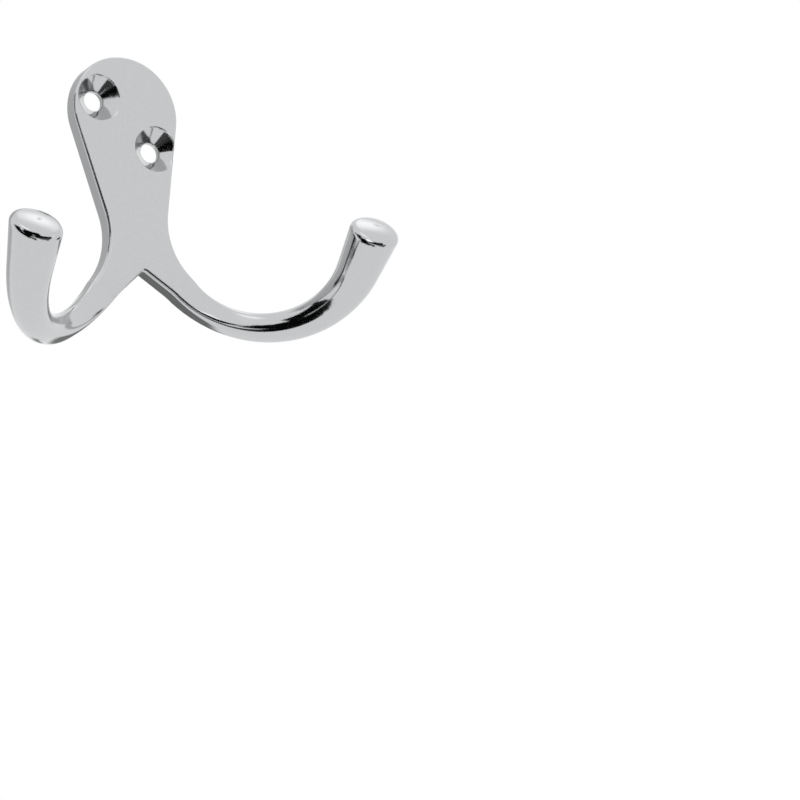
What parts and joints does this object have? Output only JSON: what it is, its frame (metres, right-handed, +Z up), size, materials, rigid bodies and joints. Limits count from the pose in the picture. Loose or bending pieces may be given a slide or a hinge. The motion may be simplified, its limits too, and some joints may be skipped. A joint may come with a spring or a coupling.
{
  "type": "double robe hook",
  "caption": "Cast metal robe hook: a flat plate with a round head and countersunk screw holes, and arms that sweep out, forward and up to thick, domed ends.",
  "frame": {"origin": "on the plate's back face, halfway between the two screw holes", "axes": "+X to the right as seen from in front, +Y into the wall, +Z up"},
  "size_m": [0.0748, 0.0311, 0.0534],
  "materials": {
    "chrome": "polished"
  },
  "bodies": {
    "root": {"robe_hook": "chrome"}
  },
  "joints": []
}
